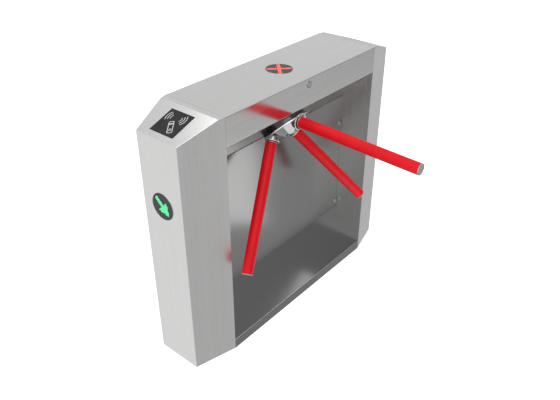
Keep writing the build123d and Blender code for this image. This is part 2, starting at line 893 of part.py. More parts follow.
def make_damper():
    """Rotary damper on the end of the shaft, with three legs to the back plate."""
    body = rod(damper_radius, -damper_start - damper_length, -damper_start)
    body -= rod(shaft_radius + running_clearance, -shaft_end - damper_end_gap, 0)
    back = -back_plate_start - back_plate_thickness
    low = -damper_start - damper_arm_thickness
    half = damper_arm_width / 2
    for index in range(damper_legs):
        angle = damper_leg_angle + index * 360 / damper_legs
        turn = math.radians(angle)
        x, y = damper_leg_circle * math.cos(turn), damper_leg_circle * math.sin(turn)
        body += rod(damper_leg_radius, low, back, x, y)
        arm = block(damper_radius - damper_overlap, damper_leg_circle, -half, half, low, -damper_start)
        body += Rot(0, 0, angle) * arm
    return in_hub(body)


# ---- electronics ----
def make_board():
    """Control board with its main components, standing on the far bulkhead side of the rear bay."""
    long, tall, thick = board_size[1], board_size[0], board_size[2]
    x = -side_x + sheet + board_standoff
    y0, z0 = seam_y - long - board_side_gap, rear_panel_top - tall - board_top_gap
    board = block(x, x + thick, y0, y0 + long, z0, z0 + tall)
    for y in (y0 + board_hole_inset, y0 + long - board_hole_inset):
        for z in (z0 + board_hole_inset, z0 + tall - board_hole_inset):
            post = Plane(origin=(x - board_standoff, y, z), z_dir=(1, 0, 0)).location
            board += post * rod(board_post_radius, 0, board_standoff)
    face = x + thick
    deep, wide, high = connector_size
    z = z0 + connector_place[1]
    for index in range(connector_count):
        y = y0 + connector_place[0] + index * connector_pitch
        board += block(face, face + deep, y, y + wide, z, z + high)
    deep, wide, high = processor_size
    y, z = y0 + processor_place[0], z0 + processor_place[1]
    return board + block(face, face + deep, y, y + wide, z, z + high)


def make_supply():
    """Power supply box on the base, behind the recess panel."""
    deep, long, tall = supply_size
    x = -side_x + supply_rear_gap
    return block(x, x + deep, -long / 2, long / 2, base_thickness, base_thickness + tall)


def make_counter():
    """Totalising counter on the rear mechanism bay wall."""
    deep, wide, tall = counter_size
    x = -side_x + sheet
    y = hub_y - plate_half_length - wide
    z = rear_panel_top - tall - counter_top_gap
    return block(x, x + deep, y, y + wide, z, z + tall)


def make_lid_catch():
    """Angle bracket on the soffit's upper flange; the lid lock's cam turns behind its upright leg."""
    cam_face = side_x - lock_barrel_length - hinge_gap
    x = cam_face + lid_catch_gap
    flange_x = side_x - 2 * sheet - moving_gap
    top = lid_lock_z - lock_barrel_radius - moving_gap
    half = lid_catch_width / 2
    low = header_z + lid_catch_rise
    upright = block(x, x + lid_catch_thickness, -half, half, low, top)
    return upright + block(x, flange_x, -half, half, low, low + lid_catch_thickness)


# ---- cabinet ----
os.makedirs("parts", exist_ok=True)
near_column = make_column()
save("near_column", near_column)
save("far_column", other_end(near_column))
save("sill_panel", make_sill())
save("soffit_panel", make_soffit())
save("recess_panel", make_recess_panel())
save("rear_panel", make_rear_panel())
save("service_door", make_door())
save("top_lid", make_lid())
save("base_plate", make_base())
save("cable_grommets", make_grommet(-cable_hole_y), make_grommet(cable_hole_y))
bulkhead = make_bulkhead()
save("bulkheads", bulkhead, other_end(bulkhead))
save("mechanism_rails", make_rail(-1), make_rail(1))
save("lid_catch", make_lid_catch())

# ---- locks ----
panel_locks = [
    make_lock(Plane(origin=(recess_x, panel_lock_y, z), x_dir=(0, 1, 0), z_dir=(1, 0, 0)), 0, 0)
    for z in panel_lock_z
]
save("panel_lock_barrels", *[barrel for barrel, plug in panel_locks])
save("upper_panel_lock_plug", panel_locks[0][1])
save("lower_panel_lock_plug", panel_locks[1][1])
for name, frame in (("lid_lock", lid_lock_frame), ("door_lock", door_lock_frame)):
    barrel, plug = make_lock(frame, 0, 0)
    save(name + "_barrel", barrel)
    save(name + "_plug", plug)

# ---- hinges ----
lid_axis = (-side_x - knuckle_radius, cabinet_height - lid_rear_flange - moving_gap / 2)
lid_leaf = lid_rear_flange - moving_gap / 2
lid_hinges = [
    make_hinge(
        Plane(origin=(lid_axis[0], y, lid_axis[1]), x_dir=(0, 0, -1), z_dir=(0, 1, 0)),
        flange_width,
        lid_leaf,
    )
    for y in lid_hinge_y
]
door_axis = (-side_x - knuckle_radius, door_width / 2 + moving_gap / 2)
door_middle = door_low_z + door_height / 2
door_hinges = [
    make_hinge(
        Plane(origin=(*door_axis, door_middle + dz), x_dir=(0, 1, 0), z_dir=(0, 0, 1)),
        flange_width,
        flange_width,
    )
    for dz in (-door_hinge_offset, door_hinge_offset)
]
save("hinge_fixed_leaves", *[hinge[0] for hinge in lid_hinges + door_hinges])
save("hinge_pins", *[hinge[2] for hinge in lid_hinges + door_hinges])
save("lid_hinge_leaves", *[hinge[1] for hinge in lid_hinges])
save("door_hinge_leaves", *[hinge[1] for hinge in door_hinges])

# ---- indicators and readers ----
near_lens, near_board = make_indicator(end_frame)
top_lens, top_board = make_indicator(top_frame)
near_glass, near_module = make_reader()
save("end_indicator_lenses", near_lens, other_end(near_lens))
save("end_indicator_boards", near_board, other_end(near_board))
save("top_indicator_lens", top_lens)
save("top_indicator_board", top_board)
save("reader_glasses", near_glass, other_end(near_glass))
save("reader_modules", near_module, other_end(near_module))

# ---- hub, arms and shaft ----
save("hub", make_hub())
save("hub_screws", *[make_hub_screw(index) for index in range(arm_count)])
arms = [make_arm(index) for index in range(arm_count)]
save("arm_tubes", *[arm[0] for arm in arms])
for index, arm in enumerate(arms):
    save(f"arm_sleeve_{index + 1}", arm[1])
save("arm_end_caps", *[arm[2] for arm in arms])
save("hub_escutcheon", make_escutcheon())
save("main_shaft", make_shaft())
save("centring_cam", make_cam())
save("lock_wheel", make_lock_wheel())
save("counting_disc", make_encoder())

# ---- fixed mechanism ----
bearing_top = -plate_front - plate_thickness
save("mechanism_plate", make_plate())
save("plate_screws", *[make_plate_screw(x, y) for x, y in plate_screw_places()])
save("bearing_housing", make_housing())
save(
    "shaft_bearings",
    *make_bearing(bearing_top),
    *make_bearing(bearing_top - housing_length + bearing_width),
)
save("mechanism_posts", *[make_post(x, y) for x, y in post_places()])
save("back_plate", make_back_plate())
save("counting_sensor", make_sensor())
save("rotary_damper", make_damper())

# ---- pawls and centring lever ----
solenoids = []
for name, side in (("entry", 1), ("exit", -1)):
    body, plunger = make_solenoid(side)
    solenoids.append(body)
    save(f"{name}_pawl", make_pawl(side))
    save(f"{name}_plunger", plunger)
save("solenoids", *solenoids)
save("centring_lever", make_lever())
save("centring_roller", make_roller())

# ---- electronics ----
save("control_board", make_board())
save("power_supply", make_supply())
save("visitor_counter", make_counter())
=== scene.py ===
import json
import math

import bmesh
import bpy
import numpy as np
from mathutils import Matrix, Vector


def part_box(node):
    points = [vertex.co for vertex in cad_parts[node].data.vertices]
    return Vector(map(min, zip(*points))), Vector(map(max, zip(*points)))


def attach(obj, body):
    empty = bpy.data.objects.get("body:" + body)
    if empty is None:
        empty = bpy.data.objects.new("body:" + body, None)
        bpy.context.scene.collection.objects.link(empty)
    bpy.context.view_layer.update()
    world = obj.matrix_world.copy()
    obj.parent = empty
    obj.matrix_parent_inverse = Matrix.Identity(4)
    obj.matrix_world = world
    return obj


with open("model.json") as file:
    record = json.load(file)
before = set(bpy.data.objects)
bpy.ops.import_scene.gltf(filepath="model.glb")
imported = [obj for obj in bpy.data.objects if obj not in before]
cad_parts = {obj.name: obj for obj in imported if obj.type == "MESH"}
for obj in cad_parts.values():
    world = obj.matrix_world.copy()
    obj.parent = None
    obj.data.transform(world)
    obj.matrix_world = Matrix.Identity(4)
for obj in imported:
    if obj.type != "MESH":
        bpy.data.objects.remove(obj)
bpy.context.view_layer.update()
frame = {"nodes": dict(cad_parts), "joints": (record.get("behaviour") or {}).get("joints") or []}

nodes = frame["nodes"]
MM = 0.001
LIP_HEIGHT = 45 * MM
SLANT_RUN = 147 * MM
SLANT_DROP = 53 * MM


# ---------------------------------------------------------------- node helpers
class Tree:
    """One material's node tree, with its Principled shader."""

    def __init__(self, name):
        self.material = bpy.data.materials.new(name)
        self.material.use_nodes = True
        self.tree = self.material.node_tree
        self.tree.nodes.clear()
        self.shader = self.add("ShaderNodeBsdfPrincipled")
        self.out = self.add("ShaderNodeOutputMaterial")
        self.link(self.shader.outputs["BSDF"], self.out.inputs["Surface"])
        self.place = self.add("ShaderNodeTexCoord").outputs["Object"]

    def add(self, kind, **settings):
        node = self.tree.nodes.new(kind)
        for key, value in settings.items():
            setattr(node, key, value)
        return node

    def link(self, a, b):
        self.tree.links.new(a, b)

    def scaled(self, scale):
        mapping = self.add("ShaderNodeMapping")
        mapping.inputs["Scale"].default_value = scale
        self.link(self.place, mapping.inputs["Vector"])
        return mapping.outputs["Vector"]

    def noise(self, scale, detail=3.0, stretch=(1, 1, 1), roughness=0.55):
        node = self.add("ShaderNodeTexNoise")
        node.inputs["Scale"].default_value = scale
        node.inputs["Detail"].default_value = detail
        node.inputs["Roughness"].default_value = roughness
        self.link(self.scaled(stretch), node.inputs["Vector"])
        return node.outputs["Fac"]

    def spread(self, value, low, high, start=0.3, end=0.7):
        node = self.add("ShaderNodeMapRange")
        node.inputs["From Min"].default_value = start
        node.inputs["From Max"].default_value = end
        node.inputs["To Min"].default_value = low
        node.inputs["To Max"].default_value = high
        self.link(value, node.inputs["Value"])
        return node.outputs["Result"]

    def maths(self, operation, a, b):
        node = self.add("ShaderNodeMath", operation=operation)
        for socket, value in zip(node.inputs, (a, b)):
            if isinstance(value, (int, float)):
                socket.default_value = value
            else:
                self.link(value, socket)
        return node.outputs[0]

    def tones(self, factor, dark, light, start=0.3, end=0.7):
        ramp = self.add("ShaderNodeValToRGB")
        ramp.color_ramp.elements[0].position = start
        ramp.color_ramp.elements[1].position = end
        ramp.color_ramp.elements[0].color = (*dark, 1)
        ramp.color_ramp.elements[1].color = (*light, 1)
        self.link(factor, ramp.inputs["Fac"])
        self.link(ramp.outputs["Color"], self.shader.inputs["Base Color"])

    def bump(self, height, strength, distance):
        node = self.add("ShaderNodeBump")
        node.inputs["Strength"].default_value = strength
        node.inputs["Distance"].default_value = distance
        self.link(height, node.inputs["Height"])
        self.link(node.outputs["Normal"], self.shader.inputs["Normal"])

    def roughness(self, value):
        self.link(value, self.shader.inputs["Roughness"])

    def set(self, **values):
        for key, value in values.items():
            self.shader.inputs[key.replace("_", " ")].default_value = value


def shade(colour, factor):
    return tuple(c * factor for c in colour)


def brushed(name, colour, grain, rough=(0.27, 0.36), contrast=0.05, relief=0.1):
    """Brushed sheet steel: fine lines along the grain axis, slow cloudy changes in gloss."""
    t = Tree(name)
    stretch = [1.0, 1.0, 1.0]
    stretch["xyz".index(grain)] = 0.012
    lines = t.noise(900, 4, stretch, 0.65)
    streaks = t.noise(110, 3, stretch, 0.6)
    cloud = t.noise(3.2, 2)
    mixed = t.maths("ADD", t.maths("MULTIPLY", lines, 0.6), t.maths("MULTIPLY", streaks, 0.4))
    t.tones(mixed, shade(colour, 1 - contrast), shade(colour, 1 + contrast * 0.6), 0.38, 0.62)
    gloss = t.spread(mixed, rough[0], rough[1], 0.35, 0.65)
    t.roughness(t.maths("ADD", gloss, t.spread(cloud, -0.02, 0.02)))
    t.bump(lines, relief, 0.0003)
    t.set(Metallic=1.0)
    return t.material


def plated(name, colour, rough=(0.42, 0.55), scale=60):
    """Dull plated or cast metal with a spangled surface."""
    t = Tree(name)
    cells = t.add("ShaderNodeTexVoronoi")
    cells.inputs["Scale"].default_value = scale
    t.link(t.scaled((1, 1, 1)), cells.inputs["Vector"])
    grain = t.noise(scale * 6, 4)
    mixed = t.maths("ADD", t.maths("MULTIPLY", cells.outputs["Distance"], 0.5),
                    t.maths("MULTIPLY", grain, 0.5))
    t.tones(mixed, shade(colour, 0.88), shade(colour, 1.06), 0.25, 0.7)
    t.roughness(t.spread(mixed, rough[0], rough[1]))
    t.bump(grain, 0.15, 0.0003)
    t.set(Metallic=1.0)
    return t.material


def machined(name, colour, rough=(0.2, 0.3)):
    """Turned or ground steel with very fine tool marks."""
    t = Tree(name)
    marks = t.noise(1400, 3, (1, 1, 1), 0.6)
    cloud = t.noise(24, 2)
    t.tones(marks, shade(colour, 0.93), shade(colour, 1.04))
    t.roughness(t.maths("ADD", t.spread(marks, rough[0], rough[1]), t.spread(cloud, -0.03, 0.03)))
    t.bump(marks, 0.08, 0.0002)
    t.set(Metallic=1.0)
    return t.material


def polished(name, colour, rough=(0.05, 0.12)):
    """Polished chrome with faint smears."""
    t = Tree(name)
    smears = t.noise(30, 4, (1, 1, 0.35))
    t.tones(smears, shade(colour, 0.96), shade(colour, 1.02))
    t.roughness(t.spread(smears, rough[0], rough[1]))
    t.set(Metallic=1.0)
    return t.material


def moulded(name, colour, rough=(0.35, 0.5), scale=260, strength=0.12, variation=0.08):
    """Moulded plastic or rubber with a fine surface texture."""
    t = Tree(name)
    grain = t.noise(scale, 4)
    cloud = t.noise(7, 2)
    t.tones(cloud, shade(colour, 1 - variation), shade(colour, 1 + variation))
    t.roughness(t.maths("ADD", t.spread(grain, rough[0], rough[1]), t.spread(cloud, -0.02, 0.03)))
    t.bump(grain, strength, 0.0003)
    return t.material


def sleeve_red(name):
    """Satin red plastic, slightly mottled."""
    t = Tree(name)
    fine = t.noise(420, 3)
    cloud = t.noise(9, 3)
    t.tones(cloud, (0.66, 0.003, 0.009), (0.76, 0.005, 0.014))
    t.roughness(t.maths("ADD", t.spread(fine, 0.34, 0.44), t.spread(cloud, -0.03, 0.03)))
    t.bump(fine, 0.06, 0.0002)
    t.set(Specular_IOR_Level=0.18)
    return t.material


def smoked_glass(name, colour=(0.012, 0.012, 0.014)):
    """Glossy black glass with a little haze."""
    t = Tree(name)
    haze = t.noise(14, 3)
    t.tones(haze, shade(colour, 0.8), shade(colour, 1.3))
    t.roughness(t.spread(haze, 0.06, 0.14))
    t.set(IOR=1.5, Specular_IOR_Level=0.3)
    return t.material


def board(name, colour):
    """Lacquered circuit board with fine tracks."""
    t = Tree(name)
    bricks = t.add("ShaderNodeTexBrick")
    for socket, value in (("Scale", 90.0), ("Mortar Size", 0.06), ("Row Height", 0.4)):
        bricks.inputs[socket].default_value = value
    bricks.inputs["Color1"].default_value = (*colour, 1)
    bricks.inputs["Color2"].default_value = (*shade(colour, 0.8), 1)
    bricks.inputs["Mortar"].default_value = (*shade(colour, 2.1), 1)
    t.link(t.scaled((1, 1, 1)), bricks.inputs["Vector"])
    t.link(bricks.outputs["Color"], t.shader.inputs["Base Color"])
    t.roughness(t.spread(t.noise(50, 3), 0.22, 0.36))
    return t.material


def lamp(name, colour, strength):
    """LED dome: lit plastic with a brighter and a dimmer share."""
    t = Tree(name)
    spots = t.noise(160, 2)
    t.tones(spots, shade(colour, 0.75), colour)
    ramp = t.add("ShaderNodeValToRGB")
    ramp.color_ramp.elements[0].position = 0.3
    ramp.color_ramp.elements[1].position = 0.7
    ramp.color_ramp.elements[0].color = (*shade(colour, 0.78), 1)
    ramp.color_ramp.elements[1].color = (*colour, 1)
    t.link(spots, ramp.inputs["Fac"])
    t.link(ramp.outputs["Color"], t.shader.inputs["Emission Color"])
    t.set(Emission_Strength=strength, Roughness=0.3)
    return t.material


STEEL = (0.66, 0.66, 0.655)
steel_z = brushed("steel_upright_grain", STEEL, "z")
steel_y = brushed("steel_long_grain", STEEL, "y", (0.12, 0.18))
# The recess panel steel is a darker copy of the same steel, at 0.43 of its tone, which paints in
# the shade of the recess.
recess_steel_painted_shade = brushed("steel_recess_painted_shade", shade(STEEL, 0.43), "z", (0.18, 0.24),
                      contrast=0.02, relief=0.04)
# The sill steel is a darker copy of the same steel, at 0.34 of its tone, which paints in the shade
# at the foot of the recess.
steel_sill_painted_shade = brushed("steel_sill_painted_shade", shade(STEEL, 0.34), "y", (0.15, 0.2),
                     contrast=0.015, relief=0.03)
steel_hinge = brushed("steel_hinge", (0.55, 0.55, 0.55), "z", (0.3, 0.42))
zinc = plated("zinc_plate", (0.55, 0.56, 0.57))
bright = machined("bright_steel", (0.62, 0.62, 0.62))
chrome = polished("chrome", (0.62, 0.62, 0.61), (0.1, 0.18))
dark_chrome = polished("dark_chrome", (0.36, 0.36, 0.36), (0.04, 0.09))
ring_metal = polished("ring_metal", (0.07, 0.07, 0.072), (0.1, 0.18))
# Edge steel is brighter than any other steel here (0.86): a painted highlight, giving the bright
# lines along the hems, the hub rim and the socket lips.
edge_steel_painted_highlight = polished("edge_steel_painted_highlight", (0.86, 0.86, 0.85), (0.2, 0.3))
cast = plated("cast_housing", (0.5, 0.51, 0.52), (0.45, 0.6), 140)
red = sleeve_red("sleeve_red")
cap = moulded("cap_plastic", (0.33, 0.32, 0.285), (0.3, 0.42), 300, 0.08)
black = moulded("black_trim", (0.02, 0.02, 0.021), (0.3, 0.45), 300, 0.12)
glass = smoked_glass("smoked_glass")
green_board = board("board_green", (0.03, 0.2, 0.08))
case = moulded("module_case", (0.06, 0.06, 0.068), (0.4, 0.55))
supply = plated("supply_case", (0.55, 0.55, 0.57), (0.38, 0.5), 90)
rubber = moulded("grommet_rubber", (0.025, 0.025, 0.025), (0.6, 0.75), 350, 0.2)
white_ink = moulded("white_ink", (0.82, 0.82, 0.82), (0.45, 0.55), 500, 0.05, 0.03)
green_lamp = lamp("green_lamp", (0.10, 0.90, 0.36), 1.0)
red_lamp = lamp("red_lamp", (1.0, 0.13, 0.09), 1.0)
dim_lamp = moulded("dim_lamp", (0.035, 0.03, 0.036), (0.2, 0.3), 300, 0.05)

FINISH = {
    steel_z: "near_column far_column rear_panel service_door",
    steel_y: "top_lid soffit_panel",
    recess_steel_painted_shade: "recess_panel",
    steel_sill_painted_shade: "sill_panel",
    steel_hinge: "hinge_fixed_leaves lid_hinge_leaves door_hinge_leaves",
    zinc: "base_plate bulkheads mechanism_rails lid_catch mechanism_plate back_plate",
    bright: "main_shaft mechanism_posts centring_cam lock_wheel shaft_bearings plate_screws "
            "hub_screws entry_pawl exit_pawl entry_plunger exit_plunger centring_lever "
            "centring_roller hinge_pins arm_tubes",
    dark_chrome: "hub panel_lock_barrels lid_lock_barrel door_lock_barrel",
    chrome: "upper_panel_lock_plug lower_panel_lock_plug lid_lock_plug door_lock_plug",
    ring_metal: "hub_escutcheon",
    cast: "bearing_housing rotary_damper",
    red: "arm_sleeve_1 arm_sleeve_2 arm_sleeve_3",
    cap: "arm_end_caps",
    black: "reader_modules counting_sensor counting_disc",
    glass: "reader_glasses end_indicator_lenses top_indicator_lens",
    green_board: "end_indicator_boards top_indicator_board control_board",
    case: "visitor_counter solenoids",
    supply: "power_supply",
    rubber: "cable_grommets",
}
finished = set()
for material, names in FINISH.items():
    for name in names.split():
        nodes[name].data.materials.clear()
        nodes[name].data.materials.append(material)
        finished.add(name)
assert finished == set(nodes), sorted(set(nodes) ^ finished)


# ---------------------------------------------------------------- mesh helpers
def piece(name, mesh, material, body, place=None, smooth=True):
    """Makes a named piece from a bmesh, finishes it and lets it ride on a body."""
    bmesh.ops.recalc_face_normals(mesh, faces=mesh.faces)
    data = bpy.data.meshes.new(name)
    if place is not None:
        mesh.transform(place)
    mesh.to_mesh(data)
    mesh.free()
    for face in data.polygons:
        face.use_smooth = smooth
    made = bpy.data.objects.new(name, data)
    bpy.context.scene.collection.objects.link(made)
    data.materials.append(material)
    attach(made, body)
    return made


def revolve(mesh, profile, segments=48, closed=False):
    """Turns (radius, height) points about Z. An open profile that ends on the axis closes there."""
    rings = []
    for radius, height in profile:
        if radius < 1e-9:
            rings.append([mesh.verts.new((0, 0, height))])
            continue
        rings.append([mesh.verts.new((radius * math.cos(a), radius * math.sin(a), height))
                      for a in (2 * math.pi * k / segments for k in range(segments))])
    pairs = list(zip(rings, rings[1:]))
    if closed:
        pairs.append((rings[-1], rings[0]))
    for low, high in pairs:
        for k in range(segments):
            n = (k + 1) % segments
            if len(low) == 1 and len(high) == 1:
                continue
            if len(low) == 1:
                mesh.faces.new((low[0], high[n], high[k]))
            elif len(high) == 1:
                mesh.faces.new((low[k], low[n], high[0]))
            else:
                mesh.faces.new((low[k], low[n], high[n], high[k]))


def dome(mesh, x, y, radius, height, base=0.0, sides=12):
    """A closed low dome, such as the tip of an LED."""
    part = bmesh.new()
    revolve(part, [(0, base - 0.3 * height), (radius, base - 0.3 * height), (radius, base),
                   (radius * 0.82, base + height * 0.62), (radius * 0.42, base + height * 0.94),
                   (0, base + height)], sides)
    part.transform(Matrix.Translation((x, y, 0)))
    scratch = bpy.data.meshes.new("scratch")
    part.to_mesh(scratch)
    part.free()
    mesh.from_mesh(scratch)
    bpy.data.meshes.remove(scratch)


def ribbon(mesh, path, width, low, high, closed=False):
    """A raised line of the given width along a flat path, with its corners mitred."""
    count = len(path)
    points = [Vector((x, y)) for x, y in path]
    left, right = [], []
    for i, p in enumerate(points):
        before = points[i - 1] if i or closed else p
        after = points[(i + 1) % count] if i < count - 1 or closed else p
        a = (p - before).normalized() if (p - before).length > 1e-12 else None
        b = (after - p).normalized() if (after - p).length > 1e-12 else None
        along = ((a or b) + (b or a)).normalized()
        side = Vector((-along.y, along.x))
        turn = max(0.45, side.dot(Vector((-(a or b).y, (a or b).x))))
        half = width / 2 / turn
        left.append(p + side * half)
        right.append(p - side * half)
    rings = [[mesh.verts.new((q.x, q.y, z)) for q, z in
              ((left[i], low), (left[i], high), (right[i], high), (right[i], low))]
             for i in range(count)]
    steps = range(count if closed else count - 1)
    for i in steps:
        a, b = rings[i], rings[(i + 1) % count]
        for k in range(4):
            mesh.faces.new((a[k], a[(k + 1) % 4], b[(k + 1) % 4], b[k]))
    if not closed:
        mesh.faces.new(rings[0])
        mesh.faces.new(tuple(reversed(rings[-1])))


def arc(cx, cy, radius, start, end, steps=14):
    """Points of an arc, with its angles in degrees."""
    angles = [math.radians(start + (end - start) * k / steps) for k in range(steps + 1)]
    return [(cx + radius * math.cos(a), cy + radius * math.sin(a)) for a in angles]


def frame_at(origin, x_dir, z_dir):
    """Matrix of a right-handed frame, with its x axis made square to its z axis."""
    x = Vector(x_dir).normalized()
    z = Vector(z_dir).normalized()
    x = (x - z * x.dot(z)).normalized()
    y = z.cross(x)
    turn = Matrix((x, y, z)).transposed().to_4x4()
    return Matrix.Translation(origin) @ turn


# ---------------------------------------------------------------- indicators
end_low, end_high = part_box("end_indicator_lenses")
top_low, top_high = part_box("top_indicator_lens")
lens_radius = (top_high.x - top_low.x) / 2
end_z = (end_low.z + end_high.z) / 2
near_disc = frame_at((0, end_low.y, end_z), (1, 0, 0), (0, -1, 0))
far_disc = frame_at((0, end_high.y, end_z), (-1, 0, 0), (0, 1, 0))
top_disc = frame_at((0, 0, top_high.z), (1, 0, 0), (0, 0, 1))

PITCH = 4.4 * MM
LED_RADIUS = 1.9 * MM
LED_MARGIN = 3.2 * MM
LIT_HEIGHT = 0.45 * MM
DARK_HEIGHT = 0.12 * MM


def inside(point, corners):
    """Whether a flat point lies inside a closed polygon."""
    x, y = point
    found = False
    for (ax, ay), (bx, by) in zip(corners, corners[1:] + corners[:1]):
        if (ay > y) != (by > y) and x < (bx - ax) * (y - ay) / (by - ay) + ax:
            found = not found
    return found


def arrow_outline():
    """An arrow along its own x axis: shaft, then a wide head."""
    shaft, head_back, head_half, tip, tail = 9.2, -1.0, 29.5, 42.0, -42.0
    lower = [(tail, -shaft), (head_back, -shaft), (head_back, -head_half)]
    upper = [(x, -y) for x, y in reversed(lower)]
    return [(x * MM, y * MM) for x, y in lower + [(tip, 0)] + upper]


ARROW = arrow_outline()


def diagonals(x, y):
    """A flat point on axes turned by 45 degrees, the first one down to the right."""
    return (x - y) / math.sqrt(2), (x + y) / math.sqrt(2)


def in_arrow(x, y):
    """Whether a point of the lens lies in the arrow that points down to the right."""
    return inside(diagonals(x, y), ARROW)


def in_cross(x, y):
    """Whether a point of the lens lies in the diagonal cross."""
    along, across = diagonals(x, y)
    return min(abs(along), abs(across)) < 1.3 * PITCH


def lamp_places(test, turned=0.0):
    """Grid of LED places on the round lens: those the sign lights and those it leaves dark."""
    lit, dark = [], []
    reach = int(lens_radius / PITCH)
    c, s = math.cos(turned), math.sin(turned)
    for i in range(-reach, reach + 1):
        for k in range(-reach, reach + 1):
            x, y = (i * c - k * s) * PITCH, (i * s + k * c) * PITCH
            if math.hypot(x, y) > lens_radius - LED_MARGIN:
                continue
            (lit if test(x, y) else dark).append((x, y))
    return lit, dark


def sign(name, place, body, test, material, turned=0.0):
    """The lit and the dark LEDs of one round indicator."""
    lit, dark = lamp_places(test, turned)
    on, off = bmesh.new(), bmesh.new()
    for x, y in lit:
        dome(on, x, y, LED_RADIUS, LIT_HEIGHT)
    for x, y in dark:
        dome(off, x, y, LED_RADIUS * 0.8, DARK_HEIGHT)
    piece(name + "_lit_leds", on, material, body, place)
    piece(name + "_dark_leds", off, dim_lamp, body, place)


def bezel(name, place, body):
    """Thin rolled steel lip round the lens."""
    ring = bmesh.new()
    out, inner, high = lens_radius + 1.6 * MM, lens_radius + 0.35 * MM, 0.1 * MM
    deep = -0.95 * MM
    profile = [(inner, deep), (out, deep), (out, -0.5 * MM), (out - 0.4 * MM, high - 0.2 * MM),
               (inner + 0.35 * MM, high), (inner, high - 0.25 * MM)]
    revolve(ring, profile, 96, closed=True)
    piece(name, ring, chrome, body, place)


sign("near_arrow", near_disc, "cabinet", in_arrow, green_lamp)
sign("far_arrow", far_disc, "cabinet", in_arrow, green_lamp)
sign("top_cross", top_disc, "lid", in_cross, red_lamp, math.radians(45))
bezel("near_lens_bezel", near_disc, "cabinet")
bezel("far_lens_bezel", far_disc, "cabinet")
bezel("top_lens_bezel", top_disc, "lid")


# ---------------------------------------------------------------- reader windows
slant_tilt = math.atan2(SLANT_DROP, SLANT_RUN)
glass_low, glass_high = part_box("reader_glasses")
glass_half = (glass_high.x - glass_low.x) / 2
column_low, column_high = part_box("near_column")
slant_mid = Vector((0, column_low.y + SLANT_RUN / 2, column_high.z - SLANT_DROP / 2))


def turned(points, angle, x, y):
    """Points in millimetres, turned and moved, as metres."""
    c, s = math.cos(math.radians(angle)), math.sin(math.radians(angle))
    return [((x + px * c - py * s) * MM, (y + px * s + py * c) * MM) for px, py in points]


def reader_symbol(name, place):
    """A plain card below two groups of waves, in white ink on the glass."""
    ink = bmesh.new()
    width, low, high = 1.9 * MM, -0.05 * MM, 0.16 * MM
    for radius in (13, 22, 31):
        ribbon(ink, turned(arc(0, 0, radius, 138, 214), 0, -12, 20), width, low, high)
        ribbon(ink, turned(arc(0, 0, radius, -42, 42), 0, 6, 24), width, low, high)
    half_width, half_height, corner = 8.5, 26, 4
    tilt = (35, 9, -17)
    stripe = [(-half_width, 15), (half_width, 15)]
    chip = [(-3, -8), (3, -8), (3, -16), (-3, -16)]
    card = []
    for k, (sx, sy) in enumerate(((1, 1), (-1, 1), (-1, -1), (1, -1))):
        cx, cy = sx * (half_width - corner), sy * (half_height - corner)
        card += arc(cx, cy, corner, 90 * k, 90 * k + 90, 5)
    ribbon(ink, turned(card, *tilt), width, low, high, True)
    ribbon(ink, turned(stripe, *tilt), 4 * MM, low, high)
    ribbon(ink, turned(chip, *tilt), 1.4 * MM, low, high, True)
    piece(name, ink, white_ink, "cabinet", place, smooth=False)


def glass_frame(side):
    """The outer face of one reader window: x across the cabinet, z out of the glass."""
    normal = Vector((0, side * math.sin(slant_tilt), math.cos(slant_tilt)))
    middle = Vector((0, -side * slant_mid.y, slant_mid.z))
    rise = glass_high.z - slant_mid.z - glass_half * math.sin(slant_tilt)
    proud = rise / math.cos(slant_tilt)
    return frame_at(middle + normal * proud, (-side, 0, 0), normal)


reader_symbol("near_reader_symbol", glass_frame(-1))
reader_symbol("far_reader_symbol", glass_frame(1))


# ---------------------------------------------------------------- hub and edge details
rotor_joint = next(j for j in frame["joints"] if j["name"] == "rotor_turn")
hub_centre = Vector(rotor_joint["pos_m"])
hub_axis = Vector(rotor_joint["axis"]).normalized()


def arm_line(node):
    """Start, direction, length and radius of an arm's sleeve, read from its CAD mesh."""
    points = np.array([v.co for v in nodes[node].data.vertices])
    middle = points.mean(0)
    along = np.linalg.svd(points - middle, full_matrices=False)[2][0]
    if np.dot(along, middle - np.array(hub_centre)) < 0:
        along = -along
    reach = (points - middle) @ along
    off = np.linalg.norm((points - middle) - np.outer(reach, along), axis=1)
    return Vector(middle + along * reach.min()), Vector(along), reach.max() - reach.min(), off.max()


def ring_profile(radius, minor_r, minor_h, count=14):
    """Closed oval section for revolve()."""
    return [(radius + minor_r * math.cos(2 * math.pi * k / count),
             minor_h * math.sin(2 * math.pi * k / count)) for k in range(count)]


SOCKET_GAP = 6 * MM
SOCKET_WALL = 7 * MM
TUBE_INSET = 4.9 * MM
for number in (1, 2, 3):
    start, along, length, sleeve = arm_line(f"arm_sleeve_{number}")
    socket = sleeve + SOCKET_WALL
    bore = sleeve - TUBE_INSET
    side = along.orthogonal()
    mouth = frame_at(start - along * SOCKET_GAP, side, along)
    lip = bmesh.new()
    # The lip is a real bead in the brightened edge steel, whose bright ring is a painted highlight.
    revolve(lip, ring_profile(socket - 1.2 * MM, 2.0 * MM, 2.0 * MM), 64, True)
    piece(f"socket_lip_{number}", lip, edge_steel_painted_highlight, "rotor", mouth)
    seal = bmesh.new()
    revolve(seal, [(bore, 0.05 * MM), (socket - 3.0 * MM, 0.05 * MM), (socket - 3.4 * MM, 1.4 * MM),
                   (bore + 0.5 * MM, 2.2 * MM), (bore, 1.6 * MM)], 64, True)
    piece(f"socket_seal_{number}", seal, rubber, "rotor", mouth)
    collar = frame_at(start, side, along)
    band = bmesh.new()
    shoulder = sleeve - 0.6 * MM
    revolve(band, [(bore, -2.6 * MM), (sleeve - 1.2 * MM, -2.4 * MM), (shoulder, -1.6 * MM),
                   (shoulder, -0.1 * MM), (bore, -0.1 * MM)], 64, True)
    piece(f"sleeve_stop_{number}", band, chrome, "rotor", collar)

